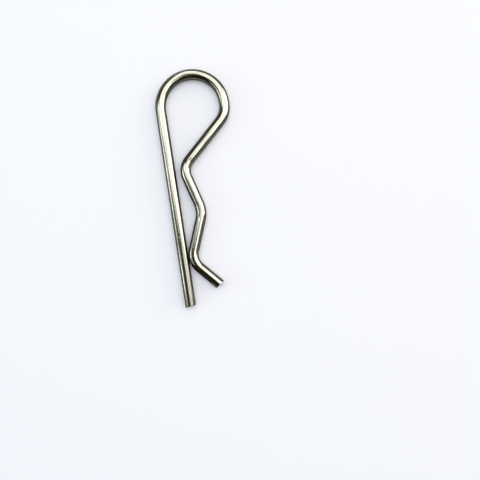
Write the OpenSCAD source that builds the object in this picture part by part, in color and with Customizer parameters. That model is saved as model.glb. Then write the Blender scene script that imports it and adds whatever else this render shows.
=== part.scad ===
// Hitch R clip pin: one length of hard-drawn spring wire, formed cold round five pegs.
// The clip lies flat. Its straight leg runs along Y, the head loop points to +Y and the waved leg
// is on the +X side. The origin is under the middle of its outline, on the surface it lies on.
// The wire is laid out like its forming jig: pegs stand where the bends are, and each straight run
// is the tangent between two pegs, so each bend can be changed by itself.
// The seat is placed from the head, and both pinches from the seat, so that a longer or shorter clip
// only changes how far the straight leg reaches past the waved one.

/* [Wire] */
// Diameter of the spring wire
wire_d = 4; // [3:0.1:4.8]
// Length of the clip along its straight leg, from the leg's end to the top of the head
overall_l = 90; // [78:0.5:120]

/* [Head loop] */
// Inside diameter of the round head
head_bore = 20.4; // [17:0.1:26]
// How far the head sweeps round before it leaves for the shoulder
head_sweep = 179; // [165:0.5:195]
// Straight run between the head and the shoulder
shoulder_run = 0.7; // [0.5:0.1:4]
// Inside radius of the shoulder, where the wire turns back towards the straight leg
shoulder_bend = 7.2; // [4:0.1:10]

/* [Shaft seat] */
// Distance of the seated shaft's axis below the middle of the head
seat_drop = 39.8; // [33:0.1:48]
// Diameter of the seat, centred on the straight leg's axis, with the clip not sprung open
seat_d = 14.8; // [11:0.1:19]

/* [First pinch] */
// Distance of the first pinch above the shaft's axis
pinch_rise = 15; // [12:0.5:20]
// Gap between the two legs at the first pinch
pinch_gap = 1.9; // [0.5:0.1:4]
// Inside radius of the first pinch
pinch_bend = 4.4; // [2.5:0.1:6]

/* [Second pinch] */
// Distance of the second pinch below the shaft's axis
rest_drop = 17.1; // [14:0.1:21]
// Hairline left where the second pinch rests against the straight leg
rest_gap = 0.05; // [0.03:0.01:0.5]
// Inside radius of the second pinch
rest_bend = 5; // [3:0.1:7]

/* [Flared tip] */
// Angle between the flared tip and the straight leg
flare_angle = 41.5; // [30:0.5:60]
// Length of the tip's straight run
flare_l = 10; // [5:0.1:13]

/* [Forming marks] */
// How deep the hard pegs press a flat into the inside of each bend
peg_press = 0.08; // [0.04:0.01:0.2]
// How much the wire's radius draws down where it is bent
bend_draw = 0.01; // [0.005:0.005:0.03]
// Slant of the sheared end of the straight leg
leg_shear = 7; // [0:0.5:12]
// Slant of the sheared end of the flared tip
tip_shear = 4; // [0:0.5:12]
// Width of the worn edge round each sheared end
edge_break = 0.25; // [0.1:0.05:0.5]

/* [Hidden] */
$fn = 64;
wire_r = wire_d / 2;
UP = 90;
DOWN = -90;
// Which way the wire goes round a peg
CLOCKWISE = -1;
COUNTER = 1;
// How far each bend laps inside the straight wire at its ends
lap = 0.1;
// Wire left past each end for the shear to cut off
spare = wire_r / 2;
// Depth of the peg's rim that does the pressing
peg_rim = 1;

// Unit vectors along a heading, and to the right of it. Headings are degrees counter-clockwise from +X.
function ahead(heading) = [cos(heading), sin(heading)];
function right_of(heading) = [sin(heading), -cos(heading)];
// Point of the wire's centreline on a peg, where the wire has the given heading
function on_peg(peg, heading) = peg[0] + peg[2] * peg[1] * right_of(heading);
// Heading of the straight run that leaves one peg and is tangent to the next
function heading_between(a, b) =
    let (gap = b[0] - a[0])
    atan2(gap.y, gap.x) + asin((a[2] * a[1] - b[2] * b[1]) / norm(gap));
// Angle that the wire turns through at a peg, always positive
function turned(peg, heading_in, heading_out) =
    let (turn = (peg[2] * (heading_out - heading_in)) % 360)
    turn < 0 ? turn + 360 : turn;
// Direction, seen from the peg, in which a counter-clockwise sweep along the bend starts
function sweep_start(peg, heading_in, heading_out) =
    peg[2] == COUNTER ? heading_in - 90 : heading_out + 90;

// Pegs: centre, radius of the wire's centreline round it, and the way round
head_r = head_bore / 2 + wire_r;
head = [[head_r, overall_l - head_r - wire_r], head_r, CLOCKWISE];
head_out = UP - head_sweep;
shoulder_r = shoulder_bend + wire_r;
shoulder_start = on_peg(head, head_out) + shoulder_run * ahead(head_out);
shoulder = [shoulder_start + shoulder_r * right_of(head_out), shoulder_r, CLOCKWISE];
pinch_r = pinch_bend + wire_r;
seat = [[0, head[0].y - seat_drop], seat_d / 2 + wire_r, CLOCKWISE];
pinch = [[wire_d + pinch_gap + pinch_r, seat[0].y + pinch_rise], pinch_r, COUNTER];
rest_r = rest_bend + wire_r;
rest = [[wire_d + rest_gap + rest_r, seat[0].y - rest_drop], rest_r, COUNTER];

// Headings of the straight runs between the pegs
to_pinch = heading_between(shoulder, pinch);
to_seat = heading_between(pinch, seat);
to_rest = heading_between(seat, rest);
flare = DOWN + flare_angle;

// The bends in the order the wire meets them: peg, heading in, heading out
BENDS = [
    [head, UP, head_out],
    [shoulder, head_out, to_pinch],
    [pinch, to_pinch, to_seat],
    [seat, to_seat, to_rest],
    [rest, to_rest, flare],
];

// Middles of the two sheared faces. The leg's longest corner is at y = 0.
leg_end = [0, (wire_r - edge_break) * sin(leg_shear)];
tip_end = on_peg(rest, flare) + flare_l * ahead(flare);

// Sides of the outline, for the origin
left_side = -wire_r;
right_side = shoulder[0].x + shoulder_r + wire_r;

// Straight wire between two points of the clip's plane
module run(from, to) {
    way = to - from;
    translate(from)
        rotate([0, 90, atan2(way.y, way.x)])
            cylinder(d = wire_d, h = norm(way));
}

// A profile swept round a peg along its bend, and a little further at both ends
module sweep_round(bend, further) {
    peg = bend[0];
    translate(peg[0])
        rotate(sweep_start(peg, bend[1], bend[2]) - further)
            rotate_extrude(angle = turned(peg, bend[1], bend[2]) + 2 * further)
                children();
}

// Bent wire, a hair thinner than the straight wire that it laps into
module bent_wire(bend) {
    r = bend[0][1];
    sweep_round(bend, asin(lap / r))
        translate([r, 0])
            circle(r = wire_r - bend_draw);
}

// The peg itself, which flattens the inside of its bend. The flat fades out on the straight wire
// just past the bend, where the peg's round face leaves the wire.
module peg_flat(bend) {
    inside_r = bend[0][1] - wire_r;
    flat_r = inside_r + peg_press;
    fade = acos(inside_r / flat_r);
    sweep_round(bend, 1.4 * fade)
        translate([inside_r - peg_rim, -wire_r])
            square([peg_rim + peg_press, wire_d]);
}

// What the shear takes off an end: all past a slightly slanted face, and a bevel round its edge.
// The tool is only just wide enough for a slanted cut, so that it clears the other leg.
module sheared_off(end, heading, slant) {
    face_r = wire_r - edge_break;
    translate(end)
        rotate([0, 90, heading])
            rotate([slant, 0, 0])
                difference() {
                    translate([0, 0, -wire_r])
                        cylinder(r = wire_r + spare / 2, h = wire_r + 2 * spare);
                    translate([0, 0, -wire_d])
                        cylinder(r1 = face_r + wire_d, r2 = face_r, h = wire_d);
                }
}

// The bent wire before the pegs have marked it, in drawing axes: x across from the straight leg's axis,
// y up from its end
module blank() {
    run(leg_end - [0, spare], on_peg(head, UP));
    for (i = [1 : len(BENDS) - 1])
        run(on_peg(BENDS[i - 1][0], BENDS[i][1]), on_peg(BENDS[i][0], BENDS[i][1]));
    run(on_peg(rest, flare), tip_end + spare * ahead(flare));
    for (bend = BENDS)
        bent_wire(bend);
}

// The wire once the first few pegs have pressed it, one after another as the bender works
module pressed(pegs) {
    if (pegs == 0)
        blank();
    else
        difference() {
            pressed(pegs - 1);
            peg_flat(BENDS[pegs - 1]);
        }
}

// The finished wire, with both ends sheared
module formed_wire() {
    difference() {
        pressed(len(BENDS));
        sheared_off(leg_end, DOWN, -leg_shear);
        sheared_off(tip_end, flare, tip_shear);
    }
}

module r_clip() {
    color([0.74, 0.73, 0.68])
        translate([-(left_side + right_side) / 2, -overall_l / 2, wire_r])
            formed_wire();
}

r_clip();
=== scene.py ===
import bpy
import numpy as np
from mathutils import Matrix, Vector


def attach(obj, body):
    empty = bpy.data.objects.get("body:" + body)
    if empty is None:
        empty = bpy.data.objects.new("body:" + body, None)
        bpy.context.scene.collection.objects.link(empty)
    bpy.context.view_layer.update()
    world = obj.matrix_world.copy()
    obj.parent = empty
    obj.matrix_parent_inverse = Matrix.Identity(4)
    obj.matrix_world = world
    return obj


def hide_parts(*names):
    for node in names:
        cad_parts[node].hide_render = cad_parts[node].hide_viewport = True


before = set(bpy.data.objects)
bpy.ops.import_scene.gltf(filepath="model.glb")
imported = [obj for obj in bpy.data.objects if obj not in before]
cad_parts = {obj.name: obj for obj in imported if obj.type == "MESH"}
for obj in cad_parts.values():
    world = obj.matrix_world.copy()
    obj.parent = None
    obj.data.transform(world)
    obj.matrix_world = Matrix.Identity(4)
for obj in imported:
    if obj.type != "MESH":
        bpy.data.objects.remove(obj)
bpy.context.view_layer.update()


# ---------------------------------------------------------------------------------------------------
# The wire. One length of hard-drawn stainless spring wire, 4 mm thick, bent cold round five pegs into
# a straight leg, a round head, a shoulder, a pinch, a shaft seat, a second pinch that rests on the
# straight leg, and a flared tip. It was straightened and cropped first, so its ends show the shear.

MM = 0.001
wire_r = 2.0 * MM                    # radius of the wire
overall_l = 90.0 * MM                # leg's end to the top of the head
head_r = 12.2 * MM                   # radii of the bends, to the middle of the wire
shoulder_r = 9.2 * MM
pinch_r = 6.4 * MM
seat_r = 9.4 * MM
rest_r = 7.0 * MM
head_sweep = np.radians(179.0)       # how far the head goes round
shoulder_run = 0.7 * MM              # straight wire between the head and the shoulder
seat_drop = 39.8 * MM                # head's middle down to the shaft's axis
pinch_rise = 15.0 * MM               # shaft's axis up to the first pinch
rest_drop = 17.1 * MM                # shaft's axis down to the second pinch
pinch_gap = 1.9 * MM                 # daylight between the legs at each pinch
rest_gap = 0.05 * MM
flare_angle = np.radians(41.5)       # flared tip off the straight leg
flare_l = 10.0 * MM
peg_press = 0.08 * MM                # depth of the flat that each peg leaves
flat_edge = 0.012 * MM               # rounding along the sides of that flat
peg_near = 2.0 * MM                  # how far past its bend a peg can touch the wire
bend_draw = 0.01 * MM                # how much a bend draws the wire down
draw_fade = 0.6 * MM                 # how far past the bend it does so
edge_break = 0.25 * MM               # worn edge round the cropped ends
leg_slant = np.radians(-7.0)         # how far off square the ends are cropped
tip_slant = np.radians(4.0)
leg_blade, tip_blade = 2.2, -1.1     # which way the shear's blade went, round the wire
slant_depth = 6.0 * MM               # how far in from an end the slant dies out
edge_depth = 4.0 * MM                # how far in from an end the skin makes room for the worn edge
straight_step = 0.3 * MM             # spacing of the rings on straight wire and in the bends
bend_step = 0.2 * MM
AROUND = 112                         # points round the wire


def ahead(heading):
    """Unit vectors along headings: the cosine and sine of angles counter-clockwise from +X."""
    return np.stack([np.cos(heading), np.sin(heading)], -1)


def right_of(heading):
    """Unit vectors a quarter turn clockwise from headings: their sine, and minus their cosine."""
    return np.stack([np.sin(heading), -np.cos(heading)], -1)


def tangent_between(a, b):
    """Heading of the straight wire that leaves peg a and meets peg b, each peg being its centre, its
    radius and its side (+1 where the wire turns left). It is the heading of the line of centres, plus
    the angle whose sine is the difference of the sided radii over the distance of the centres."""
    gap = b[0] - a[0]
    return np.arctan2(gap[1], gap[0]) + np.arcsin((a[2] * a[1] - b[2] * b[1]) / np.hypot(*gap))


def forming_route():
    """The five bends, each as peg, heading in and heading out, and the two ends of the centreline."""
    head = (np.array([head_r, overall_l - head_r - wire_r]), head_r, -1)
    head_out = np.pi / 2 - head_sweep
    start = head[0] - head_r * right_of(head_out) + shoulder_run * ahead(head_out)
    shoulder = (start + shoulder_r * right_of(head_out), shoulder_r, -1)
    seat = (np.array([0.0, head[0][1] - seat_drop]), seat_r, -1)
    pinch = (np.array([2 * wire_r + pinch_gap + pinch_r, seat[0][1] + pinch_rise]), pinch_r, 1)
    rest = (np.array([2 * wire_r + rest_gap + rest_r, seat[0][1] - rest_drop]), rest_r, 1)
    to_pinch = tangent_between(shoulder, pinch)
    to_seat = tangent_between(pinch, seat)
    to_rest = tangent_between(seat, rest)
    flare = -np.pi / 2 + flare_angle
    bends = [(head, np.pi / 2, head_out), (shoulder, head_out, to_pinch), (pinch, to_pinch, to_seat),
             (seat, to_seat, to_rest), (rest, to_rest, flare)]
    leg_end = np.array([0.0, (wire_r - edge_break) * np.sin(-leg_slant)])
    tip_end = rest[0] + rest_r * right_of(flare) + flare_l * ahead(flare)
    return bends, leg_end, tip_end


def straight(start, end):
    """Even points along a straight run, without its end: the start plus a share of the way."""
    steps = max(2, int(round(np.hypot(*(end - start)) / straight_step)))
    return start + np.arange(steps)[:, None] / steps * (end - start)


def walk_route():
    """Points along the centreline from the leg's end to the tip's, the heading at each, and where each
    bend is: its first point, its number of steps and its peg's side and radius.
    A bend is its peg's centre, plus the side times the radius times the direction to the right of a
    heading that turns evenly."""
    bends, here, tip_end = forming_route()
    places, headings, spans = [], [], []
    for (centre, radius, side), into, out in bends:
        run = straight(here, centre + side * radius * right_of(into))
        angle = (side * (out - into)) % (2 * np.pi)
        steps = int(round(angle * radius / bend_step))
        turning = into + side * angle * np.arange(steps) / steps
        places += [run, centre + side * radius * right_of(turning)]
        headings += [np.full(len(run), into), turning]
        spans.append((sum(len(part) for part in places) - steps, steps, side, radius))
        here = centre + side * radius * right_of(out)
    run = straight(here, tip_end)
    places += [run, [tip_end]]
    headings.append(np.full(len(run) + 1, bends[-1][2]))
    return np.concatenate(places), np.concatenate(headings), spans


place, heading, bend_spans = walk_route()
forward, leftward = ahead(heading), -right_of(heading)
along = np.concatenate([[0], np.cumsum(np.hypot(*np.diff(place, axis=0).T))])
total_l = along[-1]


def peg_marks():
    """At each point of the centreline: the side of the peg there, how deep the peg's face has pressed in,
    and how fully the wire is bent. The peg's face is a circle a hair wider than the bend, so past the bend
    it leaves the wire: its depth there is the root of its squared radius less the squared distance from
    the bend, less the bend's inside radius."""
    side, press, bent = np.zeros((3, len(along)))
    for first, steps, peg_side, radius in bend_spans:
        past = np.maximum(0, np.maximum(along[first] - along, along - along[first + steps]))
        inside = radius - wire_r
        face = np.sqrt(np.maximum(0, (inside + peg_press) ** 2 - past ** 2)) - inside
        side[past < peg_near] = peg_side
        press = np.maximum(press, face)
        bent = np.maximum(bent, np.clip(1 - past / draw_fade, 0, 1))
    return side, press, bent


# Small knocks all over the skin, each a shallow dent: distance along the wire, angle round it, half its
# length and width, and its depth.
dice = np.random.default_rng(11)
KNOCKS = 90
knocks = np.stack([
    dice.uniform(3 * MM, total_l - 3 * MM, KNOCKS),
    dice.uniform(0, 2 * np.pi, KNOCKS),
    dice.uniform(0.25, 0.9, KNOCKS) * MM,
    dice.uniform(0.15, 0.35, KNOCKS) * MM,
    dice.uniform(0.004, 0.016, KNOCKS) * MM], 1)

# The rims of the four tighter pegs bite nicks into the upper and lower corners of the bend's inside:
# how far from the bend's middle, how far up or down from the inside, and how deep.
NICKS = ((0.0 * MM, 0.75, 0.10 * MM), (0.7 * MM, 0.60, 0.065 * MM), (-0.9 * MM, 0.68, 0.045 * MM))
nick_half_l, nick_half_w = 0.26 * MM, 0.60 * MM
nicks = []
for first, steps, side, _ in bend_spans[1:]:
    inside = 0 if side > 0 else np.pi
    for shift, tilt, depth in NICKS:
        for face in (1, -1):
            nicks.append((along[first + steps // 2] + shift, inside + side * face * tilt,
                          nick_half_l, nick_half_w, depth))
dents = np.concatenate([knocks, nicks])


def soft_min(a, b, k):
    """The smaller of a and b, rounded off over a distance k where they cross, and never above either."""
    return (a + b - np.sqrt((a - b) ** 2 + k ** 2)) / 2


def skin():
    """The wire's outline at each station, as how far left and up each point round it reaches: the radius
    times the cosine and the sine of its angle. The radius is drawn down where the wire is bent, and
    lowered by each dent's bell curve. On the peg's side, the reach towards the peg is held to the wire's
    radius less the depth that the peg pressed in."""
    peg_side, press, bent = peg_marks()
    angle = 2 * np.pi * np.arange(AROUND) / AROUND
    r = wire_r - bend_draw * bent[:, None] * np.ones(AROUND)
    for middle, towards, half_l, half_w, depth in dents:
        off = (angle - towards + np.pi) % (2 * np.pi) - np.pi
        lengthwise = np.exp(-((along - middle) / half_l) ** 2)
        r = r - depth * lengthwise[:, None] * np.exp(-(off * wire_r / half_w) ** 2)
    left, up = r * np.cos(angle), r * np.sin(angle)
    held = soft_min(left * peg_side[:, None], wire_r - press[:, None], flat_edge) * peg_side[:, None]
    return np.where(peg_side[:, None] == 0, left, held), up


left, up = skin()


def near_end(distance, depth):
    """1 at an end of the wire, falling evenly to 0 at some depth from it."""
    return np.clip(1 - distance / depth, 0, 1)[:, None]


def skin_rings():
    """The skin's rings: the centreline's place, plus the reach to the left, plus a push along the wire,
    and as high as the reach upwards. The push slants the wire near its ends, by the tangent of the slant
    times the reach to the left, and draws the last of it in to make room for the worn edge."""
    from_tip = total_l - along
    push = np.tan(leg_slant) * left * near_end(along, slant_depth) ** 2
    push = push + np.tan(tip_slant) * left * near_end(from_tip, slant_depth) ** 2
    push = push + edge_break * (near_end(along, edge_depth) - near_end(from_tip, edge_depth))
    flat = place[:, None] + left[..., None] * leftward[:, None] + push[..., None] * forward[:, None]
    return np.concatenate([flat, up[..., None]], -1)


# The worn edge is a quarter round. The cropped face behind it has a burnished side, where the blade went
# in, and a rough side, where the wire broke away.
EDGE_RINGS, FACE_RINGS = 6, 15
corner = np.linspace(0, np.pi / 2, EDGE_RINGS + 1)[1:]
edge_scale = 1 - edge_break / wire_r * (1 - np.cos(corner))
edge_out = edge_break * np.sin(corner)
face_ring = np.arange(1, FACE_RINGS + 1)
face_scale = (1 - edge_break / wire_r) * (1 - face_ring / (FACE_RINGS + 1))
tear_depth, tear_rough, dish_depth = 0.035 * MM, 0.012 * MM, 0.01 * MM
break_line, break_sharpness = 0.1, 14.0


def cropped_face(ring_left, ring_up, blade):
    """Rings from the skin's last ring to the middle of a cropped face: their reaches to the left and up,
    which are the skin's scaled down, and how far each point stands out along the wire. The face is
    hollowed past the line where the wire broke, by a smooth step along the blade's direction, and torn
    there by a sum of waves 0.4 to 0.8 mm long. The burnished side is dished by the square of the way
    across."""
    scale = np.concatenate([edge_scale, face_scale])[:, None]
    x, y = ring_left * scale, ring_up * scale
    across = (x * np.cos(blade) + y * np.sin(blade)) / wire_r
    broke = 1 / (1 + np.exp(-(across - break_line) * break_sharpness))
    tear = np.sin(9100 * x + 3.0) * np.sin(7700 * y + 1.0) + 0.6 * np.sin(16900 * x - 12100 * y)
    hollow = (tear_depth + tear_rough * tear) * broke + dish_depth * (1 - broke) * across ** 2
    inner = np.concatenate([np.zeros(EDGE_RINGS), np.clip(face_ring / 3, 0, 1)])[:, None]
    out = np.concatenate([edge_out, np.full(FACE_RINGS, edge_break)])[:, None] - hollow * inner
    return x, y, out


def end_rings(station, outward, slant, blade):
    """A cropped end's rings, in place as the skin's are. They stand out from the skin's last ring, and
    are slanted by the tangent of the slant times the reach to the left."""
    x, y, out = cropped_face(left[station], up[station], blade)
    push = outward * (out - edge_break) + np.tan(slant) * x
    flat = place[station] + np.multiply.outer(x, leftward[station]) \
        + np.multiply.outer(push, forward[station])
    return np.concatenate([flat, y[..., None]], -1)


def closed_tube(name, grid, u_along):
    """A mesh of rings joined by quads, with a fan of triangles from the middle of each end ring. Its map
    runs in metres along the wire one way, and once round it the other."""
    rows = len(grid)
    verts = np.concatenate([grid.reshape(-1, 3), [grid[0].mean(0), grid[-1].mean(0)]])
    i, j = np.meshgrid(np.arange(rows - 1), np.arange(AROUND), indexing="ij")
    here, beside = i * AROUND + j, i * AROUND + (j + 1) % AROUND
    quads = np.stack([here, beside, beside + AROUND, here + AROUND], -1)
    u_here, u_next, v_here, v_next = u_along[i], u_along[i + 1], j / AROUND, (j + 1) / AROUND
    quad_uv = np.stack([u_here, v_here, u_here, v_next, u_next, v_next, u_next, v_here], -1)

    spoke = np.arange(AROUND)
    next_spoke = (spoke + 1) % AROUND
    last_ring = (rows - 1) * AROUND
    first_pole, last_pole = np.full(AROUND, rows * AROUND), np.full(AROUND, rows * AROUND + 1)
    fans = np.stack([[first_pole, next_spoke, spoke],
                     [last_pole, last_ring + spoke, last_ring + next_spoke]]).transpose(0, 2, 1)
    u_first, u_last = np.full(AROUND, u_along[0]), np.full(AROUND, u_along[-1])
    v_here, v_mid, v_next = spoke / AROUND, (spoke + 0.5) / AROUND, (spoke + 1) / AROUND
    fan_uv = np.stack([[u_first, v_mid, u_first, v_next, u_first, v_here],
                       [u_last, v_mid, u_last, v_here, u_last, v_next]]).transpose(0, 2, 1)

    mesh = bpy.data.meshes.new(name)
    loops = np.concatenate([quads.ravel(), fans.ravel()])
    corners = np.concatenate([np.full(i.size, 4), np.full(2 * AROUND, 3)])
    mesh.vertices.add(len(verts))
    mesh.vertices.foreach_set("co", verts.astype(np.float32).ravel())
    mesh.loops.add(len(loops))
    mesh.loops.foreach_set("vertex_index", loops.astype(np.int32))
    mesh.polygons.add(len(corners))
    mesh.polygons.foreach_set("loop_start", (np.cumsum(corners) - corners).astype(np.int32))
    mesh.polygons.foreach_set("loop_total", corners.astype(np.int32))
    mesh.update(calc_edges=True)
    mesh.validate()
    uv_layer = mesh.uv_layers.new(name="along_wire")
    uv_layer.data.foreach_set("uv", np.concatenate([quad_uv.ravel(), fan_uv.ravel()]).astype(np.float32))
    mesh.polygons.foreach_set("use_smooth", np.ones(len(corners), bool))
    return mesh


leg_rings = end_rings(0, -1, leg_slant, leg_blade)
tip_rings = end_rings(-1, 1, tip_slant, tip_blade)
rings = np.concatenate([leg_rings[::-1], skin_rings(), tip_rings])
# The frame's origin is under the middle of the outline, on the surface that the clip lies on.
left_side, right_side = -wire_r, 2 * head_r + wire_r
rings += [-(left_side + right_side) / 2, -overall_l / 2, wire_r]
beyond = np.concatenate([edge_out, edge_break + wire_r - face_scale * wire_r])
mesh = closed_tube("spring_wire", rings, np.concatenate([-beyond[::-1], along, total_l + beyond]))
wire = bpy.data.objects.new("spring_wire", mesh)
bpy.context.scene.collection.objects.link(wire)


def node(tree, kind, at, **settings):
    """A node of a material, placed at a grid square, with its settings."""
    made = tree.nodes.new(kind)
    made.location = (at[0] * 200, at[1] * -180)
    for name, value in settings.items():
        setattr(made, name, value)
    return made


def feed(tree, socket, value):
    """Links a value into a socket, or sets the socket's own value where it is a constant."""
    if isinstance(value, bpy.types.NodeSocket):
        tree.links.new(value, socket)
    else:
        socket.default_value = value


def maths(tree, kind, at, *terms):
    """A sum, a product or another operation on values."""
    made = node(tree, "ShaderNodeMath", at, operation=kind)
    for socket, term in zip(made.inputs, terms):
        feed(tree, socket, term)
    return made.outputs[0]


def spread(tree, at, value, low, high, out_low=0.0, out_high=1.0):
    """A value moved smoothly from one range to another, and held at its ends."""
    made = node(tree, "ShaderNodeMapRange", at, interpolation_type="SMOOTHSTEP")
    for name, number in (("From Min", low), ("From Max", high), ("To Min", out_low), ("To Max", out_high)):
        made.inputs[name].default_value = number
    tree.links.new(value, made.inputs["Value"])
    return made.outputs[0]


def mixed(tree, at, level, first, second, **settings):
    """One tone passing into another by a level from 0 to 1, or one laid over the other."""
    made = node(tree, "ShaderNodeMix", at, data_type="RGBA", **settings)
    feed(tree, made.inputs["Factor"], level)
    feed(tree, made.inputs["A"], first)
    feed(tree, made.inputs["B"], second)
    return made.outputs["Result"]


def tone_ramp(tree, at, value, stops):
    """A tone by a value from 0 to 1. Each stop is a position and its tone."""
    made = node(tree, "ShaderNodeValToRGB", at)
    marks = made.color_ramp.elements
    for number, (position, tone) in enumerate(stops):
        mark = marks[number] if number < 2 else marks.new(position)
        mark.position = position
        mark.color = tone + (1,)
    tree.links.new(value, made.inputs["Fac"])
    return made.outputs["Color"]


def noise(tree, at, where, scale, detail, roughness=0.5):
    """Soft noise over some coordinates, from 0 to 1."""
    made = node(tree, "ShaderNodeTexNoise", at)
    tree.links.new(where, made.inputs["Vector"])
    made.inputs["Scale"].default_value = scale
    made.inputs["Detail"].default_value = detail
    made.inputs["Roughness"].default_value = roughness
    return made.outputs["Fac"]


steel = bpy.data.materials.new("drawn_stainless")
steel.use_nodes = True
metal = steel.node_tree
metal_bsdf = metal.nodes["Principled BSDF"]
metal_bsdf.inputs["Metallic"].default_value = 1.0
# The fine drawn grain takes away the white rim that a mirror has.
metal_bsdf.inputs["Specular Tint"].default_value = (0.0, 0.0, 0.0, 1)

# Once round the wire becomes a circle, so that the drawn lines meet at the seam.
wire_map = node(metal, "ShaderNodeSeparateXYZ", (1, 0))
metal.links.new(node(metal, "ShaderNodeUVMap", (0, 0), uv_map="along_wire").outputs["UV"], wire_map.inputs[0])
metres_along = wire_map.outputs["X"]
turn = maths(metal, "MULTIPLY", (2, 0), wire_map.outputs["Y"], 2 * np.pi)
circle_x = maths(metal, "COSINE", (3, 0), turn)
circle_y = maths(metal, "SINE", (3, 1), turn)


def drawn_lines(at, lines, stretch, detail, roughness):
    """Noise on a circle round the wire: many lines round it, each long along it."""
    column, row = at
    vector = node(metal, "ShaderNodeCombineXYZ", at)
    scaled = ((circle_x, lines), (circle_y, lines), (metres_along, stretch))
    for number, (value, scale) in enumerate(scaled):
        product = maths(metal, "MULTIPLY", (column - 1, row + number), value, scale)
        metal.links.new(product, vector.inputs[number])
    return noise(metal, (column + 1, row), vector.outputs[0], 1.0, detail, roughness)


fine = drawn_lines((5, 3), 14.0, 70.0, 4.0, 0.6)
broad = drawn_lines((5, 7), 3.2, 26.0, 2.0, 0.5)

# Painted reflection and shade: the tone goes by height up the wire, so the upper flanks are painted dark as
# dark rims, and the top and underside are painted paler.
# Each tone stands at a height up the wire, from -1 underneath to 1 on top, and wanders a little.
PAINTED_FLANK_SHADE_TONES = (
    (-1.00, (0.65, 0.643, 0.56)),
    (-0.28, (0.58, 0.573, 0.50)),
    (-0.05, (0.50, 0.493, 0.43)),
    (0.12, (0.36, 0.355, 0.305)),
    (0.27, (0.165, 0.162, 0.135)),
    (0.52, (0.165, 0.162, 0.135)),
    (0.73, (0.20, 0.196, 0.165)),
    (0.87, (0.66, 0.653, 0.57)))
wander = maths(metal, "MULTIPLY", (5, 2), maths(metal, "SUBTRACT", (4, 2), broad, 0.5), 0.15)
upright = maths(metal, "MULTIPLY_ADD", (5, 1), circle_y, 0.5, 0.5)
# Painted shade and highlight: the tone is read from the ramp by height up the wire.
painted_flank_shade = tone_ramp(metal, (7, 1), maths(metal, "ADD", (6, 1), upright, wander),
                  [((height + 1) / 2, tone) for height, tone in PAINTED_FLANK_SHADE_TONES])
in_groove = spread(metal, (7, 4), fine, 0.34, 0.58)
grain = mixed(metal, (8, 4), in_groove, (0.58, 0.57, 0.55, 1), (1.0, 1.0, 1.0, 1))
# The painted flank shade and highlight are multiplied by the drawn grain.
painted_shade_and_grain = mixed(metal, (9, 3), 1.0, painted_flank_shade, grain, blend_type="MULTIPLY")

# Drag lines, where the straightener's guides scored the wire. They are strong along the straight leg's
# first 40 mm, come and go further on, and each is some centimetres long.
SCORED_TONE = (0.19, 0.19, 0.15, 1)
near_leg_end = spread(metal, (7, 12), metres_along, 26 * MM, 52 * MM, 1.0, 0.0)
now_and_then = spread(metal, (7, 13), drawn_lines((5, 15), 0.6, 60.0, 1.0, 0.5), 0.50, 0.66, 0.0, 0.75)
where_scored = maths(metal, "MAXIMUM", (8, 12), near_leg_end, now_and_then)
drag = maths(metal, "ADD", (7, 10), drawn_lines((5, 11), 4.2, 30.0, 1.0, 0.5),
             maths(metal, "MULTIPLY", (6, 10), near_leg_end, 0.02))
deep_scores = maths(metal, "MULTIPLY", (9, 12), spread(metal, (7, 11), drag, 0.50, 0.55), where_scored)
hairs = spread(metal, (7, 14), fine, 0.46, 0.54, 0.0, 0.30)
hair_scores = maths(metal, "MULTIPLY", (9, 13), hairs, near_leg_end)
scores = maths(metal, "MAXIMUM", (10, 12), deep_scores, hair_scores)
scored_skin = mixed(metal, (10, 3), maths(metal, "MULTIPLY", (9, 11), scores, 0.86), painted_shade_and_grain, SCORED_TONE)

# The cropped faces are duller: vertical lines from the shear on the upper part, torn metal below.
BURNISHED_DARK, BURNISHED_PALE = (0.27, 0.265, 0.23, 1), (0.50, 0.495, 0.45, 1)
RAGGED_DARK, RAGGED_PALE = (0.20, 0.195, 0.17, 1), (0.44, 0.435, 0.40, 1)
before_leg = maths(metal, "LESS_THAN", (5, 18), metres_along, -0.9 * edge_break)
past_tip = maths(metal, "GREATER_THAN", (5, 19), metres_along, float(total_l + 0.9 * edge_break))
cropped = maths(metal, "ADD", (6, 18), before_leg, past_tip)
spot = node(metal, "ShaderNodeTexCoord", (0, 22)).outputs["Object"]
stretched = node(metal, "ShaderNodeMapping", (1, 22))
stretched.inputs["Scale"].default_value = (3400, 3400, 420)
metal.links.new(spot, stretched.inputs["Vector"])
shear_lines = noise(metal, (2, 22), stretched.outputs[0], 1.0, 3.0)
torn = noise(metal, (2, 24), spot, 2600.0, 4.0)
spot_split = node(metal, "ShaderNodeSeparateXYZ", (1, 24))
metal.links.new(spot, spot_split.inputs[0])
ragged_height = maths(metal, "ADD", (3, 24), spot_split.outputs["Z"],
                      maths(metal, "MULTIPLY", (2, 26), torn, 1.6 * MM))
broken = spread(metal, (4, 24), ragged_height, 3.0 * MM, 2.6 * MM)
burnished = mixed(metal, (5, 22), spread(metal, (4, 22), shear_lines, 0.35, 0.65),
                  BURNISHED_DARK, BURNISHED_PALE)
ragged = mixed(metal, (5, 24), spread(metal, (4, 23), torn, 0.35, 0.65), RAGGED_DARK, RAGGED_PALE)
face_tone = mixed(metal, (6, 22), broken, burnished, ragged)
metal.links.new(mixed(metal, (11, 3), cropped, scored_skin, face_tone), metal_bsdf.inputs["Base Color"])

# The skin is polished unevenly, from 0.07 to 0.20, and the faces from 0.26 to 0.48.
polish = node(metal, "ShaderNodeMix", (8, 5))
metal.links.new(cropped, polish.inputs["Factor"])
metal.links.new(maths(metal, "MULTIPLY_ADD", (7, 5), broad, 0.13, 0.07), polish.inputs["A"])
metal.links.new(maths(metal, "MULTIPLY_ADD", (7, 20), broken, 0.22, 0.26), polish.inputs["B"])
metal.links.new(polish.outputs["Result"], metal_bsdf.inputs["Roughness"])

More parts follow.
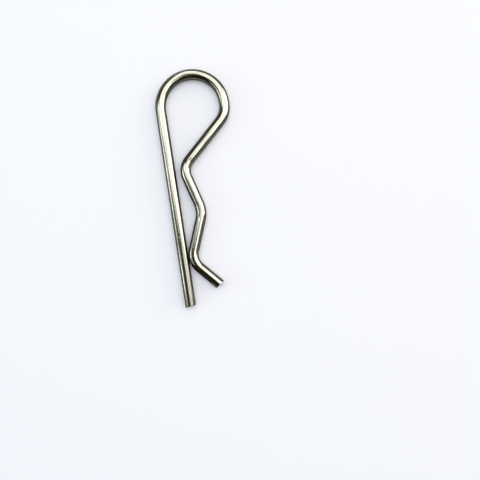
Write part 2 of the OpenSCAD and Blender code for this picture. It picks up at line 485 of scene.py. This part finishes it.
# The drawn lines stand up a little, the drag lines are cut in, and the cropped faces have their own relief.
lines_up = maths(metal, "ADD", (7, 7), maths(metal, "MULTIPLY", (6, 7), fine, 0.5), broad)
skin_relief = maths(metal, "SUBTRACT", (8, 7), lines_up, maths(metal, "MULTIPLY", (6, 8), scores, 0.45))
face_relief = mixed(metal, (7, 22), broken, shear_lines, torn)
on_skin = maths(metal, "SUBTRACT", (7, 9), 1.0, cropped)
relief = maths(metal, "ADD", (9, 7), maths(metal, "MULTIPLY", (8, 8), skin_relief, on_skin),
               maths(metal, "MULTIPLY", (8, 9), face_relief, cropped))
bump = node(metal, "ShaderNodeBump", (7, 8))
bump.inputs["Strength"].default_value = 1.0
bump.inputs["Distance"].default_value = 0.02 * MM
metal.links.new(relief, bump.inputs["Height"])
metal.links.new(bump.outputs[0], metal_bsdf.inputs["Normal"])
mesh.materials.append(steel)

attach(wire, "root")
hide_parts("r_clip")


# ---------------------------------------------------------------------------------------------------
# The floor. A wide sheet of matt lavender-white board that the clip lies on. Far from the clip it runs up
# into the pale room, but only to the eye and in the metal.

floor_half = 6.0
runs_up_from, runs_up_by = 0.25, 1.1
ROOM_PALE = (0.87, 0.885, 0.92, 1)
floor_mesh = bpy.data.meshes.new("floor")
floor_mesh.from_pydata([(-floor_half, -floor_half, 0), (floor_half, -floor_half, 0),
                        (floor_half, floor_half, 0), (-floor_half, floor_half, 0)], [], [(0, 1, 2, 3)])
floor = bpy.data.objects.new("floor", floor_mesh)
bpy.context.scene.collection.objects.link(floor)
matt_board = bpy.data.materials.new("matt_board")
matt_board.use_nodes = True
board = matt_board.node_tree
board_bsdf = board.nodes["Principled BSDF"]
board_bsdf.inputs["Base Color"].default_value = (0.88, 0.87, 0.885, 1)
board_bsdf.inputs["Roughness"].default_value = 0.9
board_bsdf.inputs["Specular IOR Level"].default_value = 0.0


def seen_or_mirrored(tree, at):
    """1 for what the eye sees, by itself, in a mirror or through a glass, and 0 for what only lights."""
    column, row = at
    rays = node(tree, "ShaderNodeLightPath", at)
    seen = maths(tree, "ADD", (column + 1, row), rays.outputs["Is Camera Ray"], rays.outputs["Is Glossy Ray"])
    return maths(tree, "ADD", (column + 2, row), seen, rays.outputs["Is Transmission Ray"])


from_clip = node(board, "ShaderNodeVectorMath", (-5, 0), operation="LENGTH")
board.links.new(node(board, "ShaderNodeTexCoord", (-6, 0)).outputs["Object"], from_clip.inputs[0])
far = spread(board, (-4, 0), from_clip.outputs["Value"], runs_up_from, runs_up_by)
room_tone = node(board, "ShaderNodeEmission", (-2, 2))
room_tone.inputs["Color"].default_value = ROOM_PALE
runs_up = node(board, "ShaderNodeMixShader", (1, 0))
board.links.new(maths(board, "MULTIPLY", (-3, 1), far, seen_or_mirrored(board, (-6, 2))), runs_up.inputs[0])
board.links.new(board_bsdf.outputs[0], runs_up.inputs[1])
board.links.new(room_tone.outputs[0], runs_up.inputs[2])
board.links.new(runs_up.outputs[0], board.nodes["Material Output"].inputs["Surface"])
floor_mesh.materials.append(matt_board)


# ---------------------------------------------------------------------------------------------------
# The camera. It looks straight down at the clip, turned so that the straight leg leans 8.7 degrees to
# the left, and stands so high that the picture has a chosen scale.

lean = np.radians(8.7)
right = np.array([np.cos(lean), -np.sin(lean), 0])
upward = np.array([np.sin(lean), np.cos(lean), 0])
PX_PER_M = 2610.0                    # the picture's scale at the clip
HALF_PICTURE = 240.0                 # pixels from its middle to its side
clip_x, clip_y = 204.6, 185.9        # where the clip's middle falls, in pixels from the top left
sensor_w, lens = 36.0, 40.0

camera_data = bpy.data.cameras.new("camera")
camera_data.sensor_width = sensor_w
camera_data.lens = lens
camera_data.clip_start = 0.01
camera = bpy.data.objects.new("camera", camera_data)
bpy.context.scene.collection.objects.link(camera)
bpy.context.scene.camera = camera
centre = np.array([0, 0, wire_r]) + (HALF_PICTURE - clip_x) / PX_PER_M * right \
    - (HALF_PICTURE - clip_y) / PX_PER_M * upward
camera_up = HALF_PICTURE / PX_PER_M / (sensor_w / 2 / lens)
camera_turn = Matrix((right, upward, (0, 0, 1))).transposed().to_4x4()
camera.matrix_world = Matrix.Translation(Vector(centre) + Vector((0, 0, camera_up))) @ camera_turn
bpy.context.scene.view_settings.view_transform = "Standard"


# ---------------------------------------------------------------------------------------------------
# The lamps. Soft daylight from the upper right and a broad lamp overhead light the floor. The metal
# mirrors lamps of its own: the window's panes, its core and lip, which don't light the floor, and a
# strip, a wall and three sills, which light it a little.

DAYLIGHT = (1.0, 1.0, 0.975)
SILL_LIGHT = (0.97, 1.0, 0.96)
WALL_LIGHT = (0.84, 1.0, 0.98)
ON_THE_CLIP = (0, 0, 0)


def softbox(name, at, aim, size, roll, power, colour):
    """A rectangular lamp at a place, aimed at another, turned in its own plane by a roll in degrees. Its
    size is in metres and its power in watts."""
    data = bpy.data.lights.new(name, "AREA")
    data.shape = "RECTANGLE"
    data.size, data.size_y = size
    data.energy = power
    data.color = colour
    lamp = bpy.data.objects.new(name, data)
    bpy.context.scene.collection.objects.link(lamp)
    facing = Vector(np.array(aim) - np.array(at)).to_track_quat("-Z", "Y").to_matrix()
    turned = (facing @ Matrix.Rotation(np.radians(roll), 3, "Z")).to_4x4()
    lamp.matrix_world = Matrix.Translation(Vector(at)) @ turned
    lamp.visible_camera = False
    return lamp


def from_above(azimuth, polar, reach):
    """Places at some reach from the clip, at angles round the picture from its right, and down from
    overhead: the reach times the sine of the polar angle times the cosine of the azimuth to the right,
    times its sine up the picture, and the reach times the cosine of the polar angle above the floor."""
    a, p = np.radians(azimuth), np.radians(polar)
    return np.multiply.outer(reach * np.sin(p) * np.cos(a), right) \
        + np.multiply.outer(reach * np.sin(p) * np.sin(a), upward) \
        + np.multiply.outer(reach * np.cos(p), [0, 0, 1])


for name, at, size, roll, power, colour in (
        ("window_light", from_above(40, 37, 0.80), (1.95, 0.96), 2, 5.0, (1.0, 0.925, 0.80)),
        ("ceiling_light", from_above(0, 0, 0.90), (1.2, 1.2), 0, 5.45, (0.71, 0.825, 1.0))):
    softbox(name, at, ON_THE_CLIP, size, roll, power, colour).visible_glossy = False

window_at = from_above(54, 37, 0.25)
across_window = from_above(144, 90, 1.0)
down_window = from_above(54, 127, 1.0)
for name, across, down, size, power in (
        ("window", -0.048, -0.017, (0.492, 0.284), 0.742),
        ("window_left", 0.246, 0.0515, (0.096, 0.133), 0.068)):
    shift = across * across_window + down * down_window
    softbox(name, window_at + shift, shift, size, 2, power, DAYLIGHT).visible_diffuse = False

for name, at, size, roll, power in (
        ("window_core", from_above(20, 59, 0.33), (0.205, 0.29), -10, 0.30),
        ("window_lip", from_above(325, 26, 0.34), (0.136, 0.19), 0, 0.058)):
    softbox(name, at, ON_THE_CLIP, size, roll, power, DAYLIGHT).visible_diffuse = False

for name, at, size, roll, power, colour in (
        ("strip", from_above(158, 26, 0.90), (0.15, 0.60), 0, 0.62, DAYLIGHT),
        ("wall", from_above(186, 58, 1.0), (0.80, 0.60), -8, 0.98, WALL_LIGHT),
        ("sill", from_above(184, 71, 1.6), (0.64, 0.32), 0, 1.15, SILL_LIGHT),
        ("sill_middle", from_above(186, 71, 1.61), (0.5, 0.26), 0, 0.95, SILL_LIGHT),
        ("far_sill", from_above(23, 76, 1.6), (1.2, 0.50), 0, 5.4, SILL_LIGHT)):
    softbox(name, at, ON_THE_CLIP, size, roll, power, colour)


# ---------------------------------------------------------------------------------------------------
# The drapes. Dark cloth hangs round the set and overhead, outside the lamps, so that the metal has
# something dark to show. Painted light: its colour is painted paler towards the foot, and it glows there,
# standing in for daylight that leaks in. Only reflections see it.

drapes_reach, drapes_foot = 3.0, 91.0
SEAMS, HEMS = 50, 19                 # points round the drapes, and from overhead down
azimuth, polar = np.meshgrid(np.linspace(0, 360, SEAMS), np.linspace(0, drapes_foot, HEMS), indexing="ij")
cloth_verts = from_above(azimuth, polar, drapes_reach)
i, j = np.meshgrid(np.arange(SEAMS - 1), np.arange(HEMS - 1), indexing="ij")
corner_at = i * HEMS + j
cloth_faces = np.stack([corner_at, corner_at + 1, corner_at + HEMS + 1, corner_at + HEMS], -1)
drapes_mesh = bpy.data.meshes.new("drapes")
drapes_mesh.from_pydata(cloth_verts.reshape(-1, 3).tolist(), [], cloth_faces.reshape(-1, 4).tolist())
drapes = bpy.data.objects.new("drapes", drapes_mesh)
bpy.context.scene.collection.objects.link(drapes)

dark_cloth = bpy.data.materials.new("dark_cloth")
dark_cloth.use_nodes = True
cloth = dark_cloth.node_tree
cloth_bsdf = cloth.nodes["Principled BSDF"]
cloth_bsdf.inputs["Roughness"].default_value = 1.0
cloth_bsdf.inputs["Specular IOR Level"].default_value = 0.0
cloth_bsdf.inputs["Emission Strength"].default_value = 1.0
cloth_split = node(cloth, "ShaderNodeSeparateXYZ", (-5, 0))
cloth.links.new(node(cloth, "ShaderNodeTexCoord", (-6, 0)).outputs["Object"], cloth_split.inputs[0])
height_up = cloth_split.outputs["Z"]
# Painted light: the cloth's colour is paler towards the foot, and an emitted glow there stands in for leaking
# daylight.
cloth_tone_with_painted_light = tone_ramp(cloth, (-3, 0), height_up, (
    (0.10, (0.42, 0.385, 0.33)),
    (0.95, (0.076, 0.053, 0.026))))
painted_foot_glow = tone_ramp(cloth, (-3, 3), height_up, (
    (0.10, (0.11, 0.11, 0.105)),
    (0.60, (0.0, 0.0, 0.0))))
cloth.links.new(cloth_tone_with_painted_light, cloth_bsdf.inputs["Base Color"])
cloth.links.new(painted_foot_glow, cloth_bsdf.inputs["Emission Color"])
drapes_mesh.materials.append(dark_cloth)
drapes.visible_camera = False
drapes.visible_diffuse = False
drapes.visible_shadow = False


# ---------------------------------------------------------------------------------------------------
# The room. Its plain painted walls stand beyond the drapes. They are pale to the eye and in the metal,
# and light the floor only a little.

ROOM_LIGHT = (0.29, 0.285, 0.285, 1)
world = bpy.data.worlds.new("room")
bpy.context.scene.world = world
world.use_nodes = True
room = world.node_tree
pale = mixed(room, (-1, 0), seen_or_mirrored(room, (-5, 0)), ROOM_LIGHT, ROOM_PALE)
room.links.new(pale, room.nodes["Background"].inputs["Color"])
